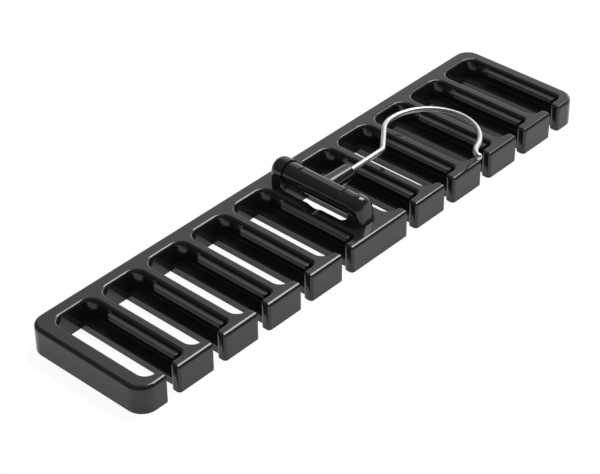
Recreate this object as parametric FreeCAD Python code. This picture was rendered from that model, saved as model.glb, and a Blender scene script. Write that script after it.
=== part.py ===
import FreeCAD, Part
import math
import os

# Tie hanger: a slotted comb that lies flat, with a folding and swivelling wire hook.
# Millimetres. X runs along the comb, Y from the open front (-) to the back rail (+), Z up.
# The origin is the middle of the comb's underside.

# Comb
SLOTS_PER_SIDE = 5
PITCH = 30.0
FINGER_WALL = 5.5
CENTRE_LEFT = 11.55
CENTRE_RIGHT = 13.3
END_BAR = 7.2
COMB_DEPTH = 77.1
COMB_HEIGHT = 15.3
RAIL_DEPTH = 8.1
HEAD_DEPTH = 6.1
HEAD_LIP = 9.7
HEAD_HEEL = 8.25
FLANGE_REACH = 7.5
FLANGE_THICKNESS = 4.5
FLANGE_ROUND = 0.5
FLANGE_ROOT = 0.8

# Comb corners, seen from above, and the rounding along its top edges: round the slots, and the outer rim
OUTER_CORNER = 9.0
HEAD_FRONT_CORNER = 1.8
HEAD_BACK_CORNER = 2.6
HEEL_CORNER = 5.4
POCKET_CORNER = 6.0
LIP_CORNER = 3.0
TOP_ROUND = 1.5
OUTER_ROUND = 2.1

# Blocks under the hinge lugs, the low strap between them, and the scoop in the wall beside them
FRONT_BASE_LENGTH = 19.5
BACK_BASE_LENGTH = 8.6
BASE_CORNER = 2.0
STRAP_INSET = 1.75
STRAP_THICKNESS = 2.4
SCOOP_RADIUS = 8.8
SCOOP_DEPTH = 1.9

# Hinge
AXIS_HEIGHT = 22.2
LUG_RADIUS = 6.8
LUG_INNER = 22.65
LUG_LENGTH = 8.7
LUG_ROUND = 4.5
FRONT_LUG_SLANT = 12.0
LUG_ROOT = 3.0
BLOCK_END_GAP = 0.6
PIN_RADIUS = 1.25
PIN_FRONT_WALL = 2.2
PIN_BACK_RECESS = 0.5
PIN_END_GAP = 0.3
PIN_PRESS_GAP = 0.02
PIN_RUNNING_GAP = 0.06
PIN_CHAMFER = 0.3

# Hinge block
BARREL_RADIUS = 5.9
SADDLE_HALF = 13.8
SADDLE_FLAT = 5.7
NOTCH_WIDTH = 1.0
NOTCH_DEPTH = 0.6
NECK_ROOT_RADIUS = 5.1
NECK_TIP_RADIUS = 4.5
NECK_TIP = 20.4
NECK_TIP_ROUND = 0.8
COVER_SEAT = 3.2
COVER_HALF_LENGTH = 8.0
COVER_HALF_HEIGHT = 3.0
COVER_CORNER = 0.8
COVER_GAP = 0.08

# Wire hook; distances along the shank (s) and across it (t) start at the hinge axis
WIRE_RADIUS = 1.45
WIRE_RUNNING_GAP = 0.06
HEAD_START = 2.2
HEAD_RADIUS = 2.1
HEAD_THICKNESS = 1.0
HEAD_CHAMFER = 0.3
WASHER_RADIUS = 2.5
WASHER_THICKNESS = 0.8
WASHER_GAP = 0.06
CAVITY_GAP = 0.15
BEND_RADIUS = 6.0
RISE_ANGLE = 38.0
SHOULDER_RADIUS = 15.0
LOOP_RADIUS = 25.9
LOOP_S = 73.1
LOOP_T = -10.2
LOOP_START = 95.4
LOOP_END = -72.0
TIP_RADIUS = 10.5
TIP_END = 160.0
TIP_BALL = 1.9

# Grip strips
STRIP_TOP_BELOW = 2.2
STRIP_THICKNESS = 2.4
STRIP_REACH = 3.3
STRIP_FRONT_GAP = 3.2
STRIP_BACK_GAP = 13.8
STRIP_NOSE = 0.4
STRIP_FRONT_CORNER = 1.2
STRIP_BACK_CORNER = 2.6
TONGUE_THICKNESS = 1.2
TONGUE_DEPTH = 1.1
TONGUE_END = 2.0
TONGUE_GAP = 0.05

# Overlap that joins one feature of a moulding to the next, and the distance that counts as none
JOIN = 1.0
TOLERANCE = 1e-4

SLOT = PITCH - FINGER_WALL
HALF_LENGTH = CENTRE_RIGHT + SLOTS_PER_SIDE * PITCH - FINGER_WALL + END_BAR
FRONT = -COMB_DEPTH / 2
BACK = COMB_DEPTH / 2
HEAD_BACK = FRONT + HEAD_DEPTH
RAIL_FRONT = BACK - RAIL_DEPTH
STRIP_FRONT = HEAD_BACK + STRIP_FRONT_GAP
STRIP_BACK = RAIL_FRONT - STRIP_BACK_GAP
WELL_LEFT = -CENTRE_LEFT + FINGER_WALL
FRONT_BASE_END = FRONT + FRONT_BASE_LENGTH
BACK_BASE_END = RAIL_FRONT - BACK_BASE_LENGTH
BLOCK_HALF = LUG_INNER - BLOCK_END_GAP
LUG_OUTER = LUG_INNER + LUG_LENGTH
LUG_TOP = AXIS_HEIGHT + LUG_RADIUS
FRONT_LUG_LEAN = math.tan(math.radians(FRONT_LUG_SLANT))
PIN_HOLE_FRONT = LUG_OUTER - FRONT_LUG_LEAN * (AXIS_HEIGHT - COMB_HEIGHT) - PIN_FRONT_WALL
PIN_FRONT = PIN_HOLE_FRONT - PIN_END_GAP
PIN_BACK = LUG_OUTER - PIN_BACK_RECESS
Y_AXIS = FreeCAD.Vector(0, 1, 0)
X_AXIS = FreeCAD.Vector(1, 0, 0)


def point(x, y, z=0.0):
    return FreeCAD.Vector(x, y, z)


def box(x0, x1, y0, y1, z0, z1):
    return Part.makeBox(x1 - x0, y1 - y0, z1 - z0, point(x0, y0, z0))


def rounded_outline(corners):
    """Closed wire through (x, y, radius) corners, each an arc of that radius, or sharp at 0."""
    spans = []
    for i, (x, y, radius) in enumerate(corners):
        here = point(x, y)
        before = point(*corners[i - 1][:2]) - here
        after = point(*corners[(i + 1) % len(corners)][:2]) - here
        before.normalize()
        after.normalize()
        half = before.getAngle(after) / 2
        reach = radius / math.tan(half)
        middle = before + after
        middle.normalize()
        top = here + middle * (radius / math.sin(half) - radius)
        spans.append((here + before * reach, top, here + after * reach))
    edges = []
    for i, (start, top, end) in enumerate(spans):
        previous = spans[i - 1][2]
        if previous.distanceToPoint(start) > TOLERANCE:
            edges.append(Part.LineSegment(previous, start).toShape())
        if corners[i][2] > 0:
            edges.append(Part.Arc(start, top, end).toShape())
    return Part.Wire(edges)


def edges_above(shape, height):
    """Edges that lie wholly at or above a height."""
    return [edge for edge in shape.Edges if edge.BoundBox.ZMin > height - TOLERANCE]


def slot_edges():
    """Left and right wall of each slot, from the left end of the comb to the right."""
    lefts = [-CENTRE_LEFT - i * PITCH - SLOT for i in reversed(range(SLOTS_PER_SIDE))]
    lefts += [CENTRE_RIGHT + i * PITCH for i in range(SLOTS_PER_SIDE)]
    return [(left, left + SLOT) for left in lefts]


def slot_corners(left, right, around_hinge):
    """Corners of one slot from its mouth, round the pocket and back out."""
    corners = [
        (left + HEAD_HEEL, FRONT, HEAD_FRONT_CORNER),
        (left + HEAD_HEEL, HEAD_BACK, HEAD_BACK_CORNER),
        (left, HEAD_BACK, HEEL_CORNER),
    ]
    if around_hinge:
        corners += [
            (left, FRONT_BASE_END, BASE_CORNER),
            (WELL_LEFT, FRONT_BASE_END, BASE_CORNER),
            (WELL_LEFT, BACK_BASE_END, BASE_CORNER),
            (left, BACK_BASE_END, BASE_CORNER),
        ]
    corners += [
        (left, RAIL_FRONT, POCKET_CORNER),
        (right, RAIL_FRONT, POCKET_CORNER),
        (right, HEAD_BACK, LIP_CORNER),
        (right - HEAD_LIP, HEAD_BACK, HEAD_BACK_CORNER),
        (right - HEAD_LIP, FRONT, HEAD_FRONT_CORNER),
    ]
    return corners


def lug(side, lean):
    """Lug at the front (side -1) or back (side 1), round on top and domed, its end leaning in by lean."""
    foot = COMB_HEIGHT - LUG_ROOT
    corners = [
        (LUG_INNER, foot),
        (LUG_INNER, LUG_TOP),
        (LUG_OUTER - lean * (LUG_TOP - COMB_HEIGHT), LUG_TOP),
        (LUG_OUTER + lean * LUG_ROOT, foot),
        (LUG_INNER, foot),
    ]
    outline = Part.makePolygon([point(-LUG_RADIUS, side * y, z) for y, z in corners])
    blank = Part.Face(outline).extrude(point(2 * LUG_RADIUS, 0, 0))
    reach = LUG_OUTER + JOIN
    arch = Part.makeCylinder(LUG_RADIUS, 2 * reach, point(0, -reach, AXIS_HEIGHT), Y_AXIS)
    arch = arch.fuse(box(-LUG_RADIUS, LUG_RADIUS, -reach, reach, foot, AXIS_HEIGHT)).removeSplitter()
    body = blank.common(arch).Solids[0]
    rim = []
    for edge in body.Edges:
        bounds = edge.BoundBox
        innermost = min(side * bounds.YMin, side * bounds.YMax)
        if innermost > LUG_INNER + TOLERANCE and bounds.ZMax > foot + TOLERANCE:
            rim.append(edge)
    return body.makeFillet(LUG_ROUND, rim)


def flange(wall, reach, inset, y0, y1):
    """Flange at the foot of a wall face at x = wall, with its free edge rounded and its root coved.

    Its free edge is reach from the wall, to the right if that is positive. Inset sinks it into the wall.
    """
    side = math.copysign(1, reach)
    free_x = wall + reach
    sunk_x = wall - side * inset
    blank = box(min(free_x, sunk_x), max(free_x, sunk_x), y0, y1, 0, FLANGE_THICKNESS)
    free = []
    for edge in edges_above(blank, FLANGE_THICKNESS):
        bounds = edge.BoundBox
        if abs(bounds.XMin - free_x) < TOLERANCE and abs(bounds.XMax - free_x) < TOLERANCE:
            free.append(edge)
    blank = blank.makeFillet(FLANGE_ROUND, free)
    cove_x = wall + side * FLANGE_ROOT
    cove_top = FLANGE_THICKNESS + FLANGE_ROOT
    cove = box(min(wall, cove_x), max(wall, cove_x), y0, y1, FLANGE_THICKNESS, cove_top)
    cove = cove.cut(Part.makeCylinder(FLANGE_ROOT, y1 - y0, point(cove_x, y0, cove_top), Y_AXIS))
    return blank.fuse(cove)


def strip_blank(wall, gap):
    """Tongue of a grip strip in the wall at x = wall, grown by gap on every buried side."""
    middle = COMB_HEIGHT - STRIP_TOP_BELOW - STRIP_THICKNESS / 2
    return box(
        wall - gap,
        wall + TONGUE_DEPTH + gap,
        STRIP_FRONT + TONGUE_END - gap,
        STRIP_BACK - TONGUE_END + gap,
        middle - TONGUE_THICKNESS / 2 - gap,
        middle + TONGUE_THICKNESS / 2 + gap,
    )


def grip_strip(wall):
    """Soft strip that stands out of the finger wall, with a tongue in its groove."""
    outline = rounded_outline([
        (wall - STRIP_REACH, STRIP_FRONT, STRIP_FRONT_CORNER),
        (wall, STRIP_FRONT, 0.0),
        (wall, STRIP_BACK, 0.0),
        (wall - STRIP_REACH, STRIP_BACK, STRIP_BACK_CORNER),
    ])
    top = COMB_HEIGHT - STRIP_TOP_BELOW
    blade = Part.Face(outline).extrude(point(0, 0, STRIP_THICKNESS))
    blade.translate(point(0, 0, top - STRIP_THICKNESS))
    nose = []
    for edge in blade.Edges:
        bounds = edge.BoundBox
        if bounds.ZMax - bounds.ZMin < TOLERANCE and bounds.XMin < wall - TOLERANCE:
            nose.append(edge)
    blade = blade.makeFillet(STRIP_NOSE, nose)
    tongue = strip_blank(wall, 0.0).fuse(box(
        wall - JOIN,
        wall,
        STRIP_FRONT + TONGUE_END,
        STRIP_BACK - TONGUE_END,
        top - STRIP_THICKNESS / 2 - TONGUE_THICKNESS / 2,
        top - STRIP_THICKNESS / 2 + TONGUE_THICKNESS / 2,
    ))
    return blade.fuse(tongue).removeSplitter()


def rounded_slab():
    """The comb's outer block before the slots are cut, with its upper rim rounded over."""
    outline = rounded_outline([
        (-HALF_LENGTH, BACK, OUTER_CORNER),
        (-HALF_LENGTH, FRONT, OUTER_CORNER),
        (HALF_LENGTH, FRONT, OUTER_CORNER),
        (HALF_LENGTH, BACK, OUTER_CORNER),
    ])
    slab = Part.Face(outline).extrude(point(0, 0, COMB_HEIGHT))
    return slab.makeFillet(OUTER_ROUND, edges_above(slab, COMB_HEIGHT))


def make_comb(slots):
    corners = [(-HALF_LENGTH, BACK, OUTER_CORNER), (-HALF_LENGTH, FRONT, OUTER_CORNER)]
    for i, (left, right) in enumerate(slots):
        corners += slot_corners(left, right, i == SLOTS_PER_SIDE)
    corners += [(HALF_LENGTH, FRONT, OUTER_CORNER), (HALF_LENGTH, BACK, OUTER_CORNER)]
    comb = Part.Face(rounded_outline(corners)).extrude(point(0, 0, COMB_HEIGHT))
    comb = comb.makeFillet(TOP_ROUND, edges_above(comb, COMB_HEIGHT))
    comb = comb.common(rounded_slab()).Solids[0]

    # Flanges along the foot of each wall; beside the hinge a thin one straps the two bases together
    y0 = HEAD_BACK - JOIN
    y1 = RAIL_FRONT + JOIN
    strap = box(CENTRE_RIGHT - STRAP_INSET, CENTRE_RIGHT + FLANGE_REACH, y0, y1, 0, STRAP_THICKNESS)
    flanges = [strap, flange(WELL_LEFT, FLANGE_REACH, JOIN, FRONT_BASE_END - JOIN, BACK_BASE_END + JOIN)]
    for left, right in slots:
        if left != CENTRE_RIGHT:
            flanges.append(flange(left, FLANGE_REACH, JOIN, y0, y1))
        flanges.append(flange(right, -FLANGE_REACH, JOIN, y0, y1))
    comb = comb.fuse(flanges + [lug(-1, FRONT_LUG_LEAN), lug(1, 0.0)]).removeSplitter()

    # Pin hole, blind in the front lug, scoop under the folded-over neck, and a groove for each grip strip
    cuts = [Part.makeCylinder(
        PIN_RADIUS + PIN_PRESS_GAP,
        PIN_HOLE_FRONT + LUG_OUTER + JOIN,
        point(0, -PIN_HOLE_FRONT, AXIS_HEIGHT),
        Y_AXIS,
    )]
    cuts.append(Part.makeCylinder(
        SCOOP_RADIUS,
        FINGER_WALL + 2 * JOIN,
        point(-CENTRE_LEFT - JOIN, 0, COMB_HEIGHT - SCOOP_DEPTH + SCOOP_RADIUS),
        X_AXIS,
    ))
    cuts += [strip_blank(right, TONGUE_GAP) for left, right in slots]
    return comb.cut(cuts)


def divide_comb(comb, slots):
    """The comb by its sections: back rail, ends, fingers, and the centre with the hinge lugs."""
    above = LUG_TOP + JOIN
    names = ["comb_end_left"]
    names += ["comb_finger_%02d" % (i + 1) for i in range(SLOTS_PER_SIDE - 1)]
    names += ["comb_centre"]
    names += ["comb_finger_%02d" % (i + SLOTS_PER_SIDE) for i in range(SLOTS_PER_SIDE - 1)]
    names += ["comb_end_right"]
    middles = [(left + HEAD_HEEL + right - HEAD_LIP) / 2 for left, right in slots]
    limits = [-HALF_LENGTH - JOIN] + middles + [HALF_LENGTH + JOIN]
    rail = box(limits[0], limits[-1], RAIL_FRONT, BACK + JOIN, -JOIN, COMB_HEIGHT)
    sections = {"comb_rail": comb.common(rail).Solids[0]}
    for i, name in enumerate(names):
        section = box(limits[i], limits[i + 1], FRONT - JOIN, BACK + JOIN, -JOIN, above)
        sections[name] = comb.common(section.cut(rail)).Solids[0]
    return sections


def make_hinge_block():
    axis = point(0, 0, AXIS_HEIGHT)
    barrel = Part.makeCylinder(BARREL_RADIUS, 2 * BLOCK_HALF, point(0, -BLOCK_HALF, AXIS_HEIGHT), Y_AXIS)
    neck = Part.makeCone(NECK_ROOT_RADIUS, NECK_TIP_RADIUS, NECK_TIP, axis, X_AXIS)
    tip_rim = [edge for edge in neck.Edges if edge.BoundBox.XMin > NECK_TIP - TOLERANCE]
    neck = neck.makeFillet(NECK_TIP_ROUND, tip_rim)
    block = barrel.fuse(neck).removeSplitter()

    # Flat along the top, with a notch at each of its ends
    over = AXIS_HEIGHT + BARREL_RADIUS + JOIN
    flat = AXIS_HEIGHT + SADDLE_FLAT
    cuts = [box(-BARREL_RADIUS, BARREL_RADIUS, -SADDLE_HALF, SADDLE_HALF, flat, over)]
    for y in (-SADDLE_HALF - NOTCH_WIDTH, SADDLE_HALF):
        cuts.append(box(-BARREL_RADIUS, BARREL_RADIUS, y, y + NOTCH_WIDTH, flat - NOTCH_DEPTH, over))

    # Cover recess, cavity for the headed end of the wire, wire hole and pin hole
    cavity_end = HEAD_START + HEAD_THICKNESS + WASHER_THICKNESS + WASHER_GAP
    cuts.append(cover_blank(COVER_GAP))
    cuts.append(Part.makeCylinder(
        WASHER_RADIUS + CAVITY_GAP,
        COVER_SEAT + cavity_end,
        point(-COVER_SEAT, 0, AXIS_HEIGHT),
        X_AXIS,
    ))
    cuts.append(Part.makeCylinder(WIRE_RADIUS + WIRE_RUNNING_GAP, NECK_TIP + JOIN, axis, X_AXIS))
    cuts.append(Part.makeCylinder(
        PIN_RADIUS + PIN_RUNNING_GAP,
        2 * (BLOCK_HALF + JOIN),
        point(0, -BLOCK_HALF - JOIN, AXIS_HEIGHT),
        Y_AXIS,
    ))
    return block.cut(cuts)


def cover_blank(gap):
    """Plate let into the left side of the hinge block, grown by gap round its edge."""
    outline = rounded_outline([
        (-COVER_HALF_LENGTH - gap, -COVER_HALF_HEIGHT - gap, COVER_CORNER),
        (COVER_HALF_LENGTH + gap, -COVER_HALF_HEIGHT - gap, COVER_CORNER),
        (COVER_HALF_LENGTH + gap, COVER_HALF_HEIGHT + gap, COVER_CORNER),
        (-COVER_HALF_LENGTH - gap, COVER_HALF_HEIGHT + gap, COVER_CORNER),
    ])
    plate = Part.Face(outline).extrude(point(0, 0, BARREL_RADIUS + JOIN - COVER_SEAT))
    frame = FreeCAD.Matrix(0, 0, -1, -COVER_SEAT, 1, 0, 0, 0, 0, -1, 0, AXIS_HEIGHT)
    return plate.transformGeometry(frame)


def make_cover():
    """Cover with its outer face curved like the barrel."""
    barrel = Part.makeCylinder(BARREL_RADIUS, 2 * BLOCK_HALF, point(0, -BLOCK_HALF, AXIS_HEIGHT), Y_AXIS)
    return cover_blank(0.0).common(barrel).Solids[0]


def make_hinge_pin():
    pin = Part.makeCylinder(PIN_RADIUS, PIN_FRONT + PIN_BACK, point(0, -PIN_FRONT, AXIS_HEIGHT), Y_AXIS)
    ends = [edge for edge in pin.Edges if edge.BoundBox.YMax - edge.BoundBox.YMin < TOLERANCE]
    return pin.makeChamfer(PIN_CHAMFER, ends)


def on_circle(centre, radius, degrees):
    turn = math.radians(degrees)
    return centre + point(radius * math.cos(turn), radius * math.sin(turn))


def arc(centre, radius, first, last):
    middle = (first + last) / 2
    return Part.Arc(
        on_circle(centre, radius, first),
        on_circle(centre, radius, middle),
        on_circle(centre, radius, last),
    ).toShape()


def make_wire_hook():
    """One wire: headed inside the block, straight shank, bend, shoulder, loop and turned-out tip."""
    loop = point(LOOP_S, LOOP_T, AXIS_HEIGHT)
    shoulder = on_circle(loop, LOOP_RADIUS - SHOULDER_RADIUS, LOOP_START)
    rise_end = on_circle(shoulder, SHOULDER_RADIUS, 90 + RISE_ANGLE)
    slope = math.radians(RISE_ANGLE)
    corner = rise_end.x - rise_end.y / math.tan(slope)
    bend_reach = BEND_RADIUS * math.tan(slope / 2)
    bend = point(corner - bend_reach, BEND_RADIUS, AXIS_HEIGHT)
    tip = on_circle(loop, LOOP_RADIUS + TIP_RADIUS, LOOP_END)
    start = point(HEAD_START, 0, AXIS_HEIGHT)
    path = Part.Wire([
        Part.LineSegment(start, on_circle(bend, BEND_RADIUS, -90)).toShape(),
        arc(bend, BEND_RADIUS, -90, RISE_ANGLE - 90),
        Part.LineSegment(on_circle(bend, BEND_RADIUS, RISE_ANGLE - 90), rise_end).toShape(),
        arc(shoulder, SHOULDER_RADIUS, 90 + RISE_ANGLE, LOOP_START),
        arc(loop, LOOP_RADIUS, LOOP_START, LOOP_END),
        arc(tip, TIP_RADIUS, LOOP_END + 180, TIP_END),
    ])
    section = Part.Wire([Part.Circle(start, X_AXIS, WIRE_RADIUS).toShape()])
    wire = path.makePipeShell([section], True, False)
    head = Part.makeCylinder(HEAD_RADIUS, HEAD_THICKNESS, start, X_AXIS)
    head_rim = [edge for edge in head.Edges if edge.BoundBox.XMax < HEAD_START + TOLERANCE]
    head = head.makeChamfer(HEAD_CHAMFER, head_rim)
    ball = Part.makeSphere(TIP_BALL, on_circle(tip, TIP_RADIUS, TIP_END))
    return wire.fuse([head, ball]).removeSplitter()


def make_swivel_washer():
    start = point(HEAD_START + HEAD_THICKNESS, 0, AXIS_HEIGHT)
    disc = Part.makeCylinder(WASHER_RADIUS, WASHER_THICKNESS, start, X_AXIS)
    return disc.cut(Part.makeCylinder(WIRE_RADIUS + WIRE_RUNNING_GAP, WASHER_THICKNESS, start, X_AXIS))


def main():
    os.makedirs("parts", exist_ok=True)
    slots = slot_edges()
    nodes = divide_comb(make_comb(slots), slots)
    nodes["hinge_block"] = make_hinge_block()
    nodes["block_cover"] = make_cover()
    nodes["hinge_pin"] = make_hinge_pin()
    nodes["wire_hook"] = make_wire_hook()
    nodes["swivel_washer"] = make_swivel_washer()
    for i, (left, right) in enumerate(slots):
        nodes["grip_strip_%02d" % (i + 1)] = grip_strip(right)
    for name, shape in nodes.items():
        shape.exportStep("parts/%s.step" % name)
        print(name, shape.ShapeType, len(shape.Solids), shape.isValid(), round(shape.Volume, 2))


main()
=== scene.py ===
import bpy
from mathutils import Matrix, Vector

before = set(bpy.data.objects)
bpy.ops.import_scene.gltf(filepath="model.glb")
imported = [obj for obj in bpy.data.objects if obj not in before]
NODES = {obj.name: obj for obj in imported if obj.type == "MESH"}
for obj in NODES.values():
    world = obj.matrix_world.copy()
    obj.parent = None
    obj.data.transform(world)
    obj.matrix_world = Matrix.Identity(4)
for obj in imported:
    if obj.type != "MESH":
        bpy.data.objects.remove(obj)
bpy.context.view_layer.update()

MM = 0.001
COMB = [name for name in NODES if name.startswith("comb_")]
STRIPS = [name for name in NODES if name.startswith("grip_strip_")]
STEEL = ["wire_hook", "hinge_pin", "swivel_washer"]

# Sizes of the patterns on the surfaces
HAZE_SIZE = 14 * MM
SKIN_WAVE_SIZE = 6 * MM
SPECK_SIZE = 0.9 * MM
RUB_SIZE = 8 * MM
TOOTH_SIZE = 0.5 * MM
CLOUD_SIZE = 5 * MM

# Camera, at the photo's angle: a long lens from the front left, 36 degrees above the floor
LENS = 117.75
SENSOR_WIDTH = 36.0
VIEW_DEPTH = 20.0
CAMERA_PLACE = Vector((-0.6022, -0.5423, 0.5879))
CAMERA_RIGHT = Vector((0.6724, -0.7400, -0.0136))
CAMERA_DOWN = Vector((-0.4458, -0.3902, -0.8056))
CAMERA_AHEAD = Vector((0.5909, 0.5478, -0.5923))

# Floor: its reach either way, and how much it glows to the camera and in shiny surfaces
FLOOR_REACH = 6.0
FLOOR_TO_CAMERA = 0.92
FLOOR_IN_SHINE = 0.55

# Studio: the soft light on dull surfaces, and the dim level that shiny ones show where nothing is bright
SOFT_LIGHT = 0.45
DIM_STUDIO = 0.1

# Softbox overhead on the right, long from front to back
SOFTBOX_WIDTH = 0.45
SOFTBOX_LENGTH = 0.85
SOFTBOX_WATTS = 10.2
SOFTBOX_DISTANCE = 1.15
SOFTBOX_TOWARDS = Vector((0.484, -0.03, 0.874))
SOFTBOX_ALONG = Vector((-0.35, 1.0, 0.0))


def linear(code):
    """sRGB hex to the linear colour that the shaders take."""
    channels = [int(code[i:i + 2], 16) / 255 for i in (1, 3, 5)]
    return [c / 12.92 if c <= 0.04045 else ((c + 0.055) / 1.055) ** 2.4 for c in channels] + [1.0]


def add(tree, kind, settings=None, inputs=None, links=None):
    """One node with its settings, its input values and its links, given as input: (node, output)."""
    node = tree.nodes.new(kind)
    for name, value in (settings or {}).items():
        setattr(node, name, value)
    for name, value in (inputs or {}).items():
        node.inputs[name].default_value = value
    for name, (source, output) in (links or {}).items():
        tree.links.new(source.outputs[output], node.inputs[name])
    return node


def new_material(name):
    material = bpy.data.materials.new(name)
    material.use_nodes = True
    material.node_tree.nodes.clear()
    return material, material.node_tree


def finish_material(tree, shader):
    add(tree, "ShaderNodeOutputMaterial", links={"Surface": (shader, "BSDF")})


# Polystyrene, injection-moulded in a polished tool: black, wet-looking gloss, with the faint
# waviness of a moulded skin and a little handling haze that breaks up the shine.
def moulded_black_polystyrene(name, colour, haze_colour, gloss):
    material, tree = new_material(name)
    place = add(tree, "ShaderNodeTexCoord")
    haze = add(tree, "ShaderNodeTexNoise",
               inputs={"Scale": 1 / HAZE_SIZE, "Detail": 5.0, "Roughness": 0.6},
               links={"Vector": (place, "Object")})
    tone = add(tree, "ShaderNodeMix", {"data_type": "RGBA"},
               inputs={6: linear(colour), 7: linear(haze_colour)},
               links={"Factor": (haze, "Fac")})
    shine = add(tree, "ShaderNodeMapRange",
                inputs={"From Min": 0.3, "From Max": 0.7, "To Min": gloss, "To Max": gloss + 0.07},
                links={"Value": (haze, "Fac")})
    wave = add(tree, "ShaderNodeTexNoise", inputs={"Scale": 1 / SKIN_WAVE_SIZE, "Detail": 1.0},
               links={"Vector": (place, "Object")})
    skin = add(tree, "ShaderNodeBump", inputs={"Strength": 0.06, "Distance": 0.4 * MM},
               links={"Height": (wave, "Fac")})
    speck = add(tree, "ShaderNodeTexNoise",
                inputs={"Scale": 1 / SPECK_SIZE, "Detail": 2.0, "Roughness": 0.7},
                links={"Vector": (place, "Object")})
    grain = add(tree, "ShaderNodeBump", inputs={"Strength": 0.02, "Distance": 0.1 * MM},
                links={"Height": (speck, "Fac"), "Normal": (skin, "Normal")})
    shader = add(tree, "ShaderNodeBsdfPrincipled", inputs={"IOR": 1.59},
                 links={"Base Color": (tone, 2), "Roughness": (shine, "Result"), "Normal": (grain, "Normal")})
    finish_material(tree, shader)
    return material


# Thermoplastic rubber, moulded in a lightly textured tool: satin black that softens what it
# mirrors, a shade paler than the comb where it is rubbed.
def moulded_black_rubber(name):
    material, tree = new_material(name)
    place = add(tree, "ShaderNodeTexCoord")
    rub = add(tree, "ShaderNodeTexNoise", inputs={"Scale": 1 / RUB_SIZE, "Detail": 4.0},
              links={"Vector": (place, "Object")})
    tone = add(tree, "ShaderNodeMix", {"data_type": "RGBA"},
               inputs={6: linear("#252526"), 7: linear("#2f2f31")},
               links={"Factor": (rub, "Fac")})
    satin = add(tree, "ShaderNodeMapRange", inputs={"To Min": 0.3, "To Max": 0.4},
                links={"Value": (rub, "Fac")})
    tooth = add(tree, "ShaderNodeTexNoise", inputs={"Scale": 1 / TOOTH_SIZE, "Detail": 3.0},
                links={"Vector": (place, "Object")})
    skin = add(tree, "ShaderNodeBump", inputs={"Strength": 0.12, "Distance": 0.05 * MM},
               links={"Height": (tooth, "Fac")})
    shader = add(tree, "ShaderNodeBsdfPrincipled", inputs={"IOR": 1.5},
                 links={"Base Color": (tone, 2), "Roughness": (satin, "Result"), "Normal": (skin, "Normal")})
    finish_material(tree, shader)
    return material


# Steel wire, drawn and then plated: bright and silvery, with a soft bloom that makes the
# highlight along it a little broader in some places than in others.
def plated_steel_wire(name):
    material, tree = new_material(name)
    place = add(tree, "ShaderNodeTexCoord")
    cloud = add(tree, "ShaderNodeTexNoise", inputs={"Scale": 1 / CLOUD_SIZE, "Detail": 4.0},
                links={"Vector": (place, "Object")})
    tone = add(tree, "ShaderNodeMix", {"data_type": "RGBA"},
               inputs={6: linear("#d6d6d4"), 7: linear("#c0c1c3")},
               links={"Factor": (cloud, "Fac")})
    shine = add(tree, "ShaderNodeMapRange", inputs={"To Min": 0.26, "To Max": 0.38},
                links={"Value": (cloud, "Fac")})
    shader = add(tree, "ShaderNodeBsdfPrincipled", inputs={"Metallic": 1.0},
                 links={"Base Color": (tone, 2), "Roughness": (shine, "Result")})
    finish_material(tree, shader)
    return material


def dress(names, material):
    for name in names:
        mesh = NODES[name].data
        mesh.materials.clear()
        mesh.materials.append(material)


def make_camera():
    lens = bpy.data.cameras.new("camera")
    lens.lens = LENS
    lens.sensor_width = SENSOR_WIDTH
    lens.clip_end = VIEW_DEPTH
    camera = bpy.data.objects.new("camera", lens)
    turn = Matrix((CAMERA_RIGHT, -CAMERA_DOWN, -CAMERA_AHEAD)).transposed()
    camera.matrix_world = Matrix.Translation(CAMERA_PLACE) @ turn.to_4x4()
    bpy.context.collection.objects.link(camera)
    bpy.context.scene.camera = camera


def make_floor():
    mesh = bpy.data.meshes.new("floor")
    left, right = -FLOOR_REACH, FLOOR_REACH
    corners = [(left, left, 0), (right, left, 0), (right, right, 0), (left, right, 0)]
    mesh.from_pydata(corners, [], [(0, 1, 2, 3)])
    floor = bpy.data.objects.new("floor", mesh)
    bpy.context.collection.objects.link(floor)
    material, tree = new_material("pale_floor")
    # White to the camera and through clear pieces, with a faint shadow. In shiny surfaces it is a
    # grey floor with a deeper shadow, so that the slots stay dark.
    path = add(tree, "ShaderNodeLightPath")
    straight = add(tree, "ShaderNodeMath", {"operation": "MAXIMUM"},
                   links={0: (path, "Is Camera Ray"), 1: (path, "Is Transmission Ray")})
    shine = add(tree, "ShaderNodeMath", {"operation": "MULTIPLY"}, inputs={1: FLOOR_IN_SHINE},
                links={0: (path, "Is Glossy Ray")})
    lift = add(tree, "ShaderNodeMix", {"data_type": "FLOAT"}, inputs={"B": FLOOR_TO_CAMERA},
               links={"Factor": (straight, "Value"), "A": (shine, "Value")})
    tone = add(tree, "ShaderNodeMix", {"data_type": "RGBA"},
               inputs={6: linear("#989898"), 7: linear("#646464")},
               links={"Factor": (straight, "Value")})
    paper = add(tree, "ShaderNodeBsdfPrincipled",
                inputs={"Roughness": 0.9, "Specular IOR Level": 0.0, "Emission Color": linear("#ffffff")},
                links={"Base Color": (tone, 2), "Emission Strength": (lift, "Result")})
    finish_material(tree, paper)
    mesh.materials.append(material)


def bright_patch(tree, place, towards, edge, middle, strength):
    """Brightness that grows to strength round one direction, between two cosines of the angle to it."""
    cosine = add(tree, "ShaderNodeVectorMath", {"operation": "DOT_PRODUCT"},
                 inputs={1: Vector(towards).normalized()}, links={0: (place, "Generated")})
    return add(tree, "ShaderNodeMapRange", {"interpolation_type": "SMOOTHSTEP"},
               inputs={"From Min": edge, "From Max": middle, "To Min": DIM_STUDIO, "To Max": strength},
               links={"Value": (cosine, "Value")})


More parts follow.
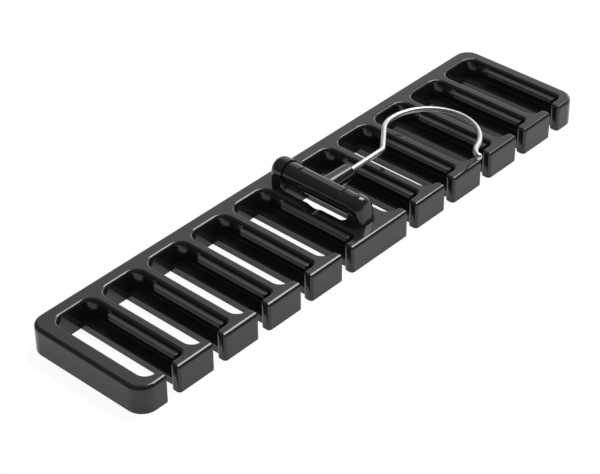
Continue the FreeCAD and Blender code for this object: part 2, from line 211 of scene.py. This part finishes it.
def make_studio():
    world = bpy.data.worlds.new("studio")
    bpy.context.scene.world = world
    world.use_nodes = True
    tree = world.node_tree
    tree.nodes.clear()
    # White to the camera and to clear pieces. In shiny surfaces the studio is dim on the left,
    # overhead and in front. On the right it shows a bright wall, a window low down in it and the
    # glow beside the softbox.
    path = add(tree, "ShaderNodeLightPath")
    place = add(tree, "ShaderNodeTexCoord")
    wall = bright_patch(tree, place, (0.943, 0.314, 0.105), 0.48, 0.8, 0.8)
    window = bright_patch(tree, place, (0.98, 0.17, 0.1), 0.87, 0.93, 1.8)
    glow = bright_patch(tree, place, (0.70, -0.15, 0.70), 0.98, 0.996, 3.0)
    right_side = add(tree, "ShaderNodeMath", {"operation": "MAXIMUM"},
                     links={0: (wall, "Result"), 1: (window, "Result")})
    studio = add(tree, "ShaderNodeMath", {"operation": "MAXIMUM"},
                 links={0: (right_side, "Value"), 1: (glow, "Result")})
    shown = add(tree, "ShaderNodeMix", {"data_type": "FLOAT"}, inputs={"A": SOFT_LIGHT},
                links={"Factor": (path, "Is Glossy Ray"), "B": (studio, "Value")})
    straight = add(tree, "ShaderNodeMath", {"operation": "MAXIMUM"},
                   links={0: (path, "Is Camera Ray"), 1: (path, "Is Transmission Ray")})
    strength = add(tree, "ShaderNodeMath", {"operation": "MAXIMUM"},
                   links={0: (shown, "Result"), 1: (straight, "Value")})
    sky = add(tree, "ShaderNodeBackground", inputs={"Color": linear("#ffffff")},
              links={"Strength": (strength, "Value")})
    add(tree, "ShaderNodeOutputWorld", links={"Surface": (sky, "Background")})


# The softbox draws the bright line along every front-facing top edge and leaves the flat tops
# and the left-facing edges dull
def make_softbox():
    lamp = bpy.data.lights.new("softbox", "AREA")
    lamp.shape = "RECTANGLE"
    lamp.size = SOFTBOX_WIDTH
    lamp.size_y = SOFTBOX_LENGTH
    lamp.energy = SOFTBOX_WATTS
    away = SOFTBOX_TOWARDS.normalized()
    along = (SOFTBOX_ALONG - away * SOFTBOX_ALONG.dot(away)).normalized()
    turn = Matrix((along.cross(away), along, away)).transposed()
    light = bpy.data.objects.new("softbox", lamp)
    light.matrix_world = Matrix.Translation(away * SOFTBOX_DISTANCE) @ turn.to_4x4()
    bpy.context.collection.objects.link(light)


comb_black = moulded_black_polystyrene("moulded_black_polystyrene", "#1d1d1e", "#222223", 0.12)
cover_black = moulded_black_polystyrene("moulded_black_cover", "#1e1e1f", "#242426", 0.2)
dress(COMB + ["hinge_block"], comb_black)
dress(["block_cover"], cover_black)
dress(STRIPS, moulded_black_rubber("moulded_black_rubber"))
dress(STEEL, plated_steel_wire("plated_drawn_steel"))

make_camera()
make_floor()
make_studio()
make_softbox()
bpy.context.scene.view_settings.view_transform = "Standard"
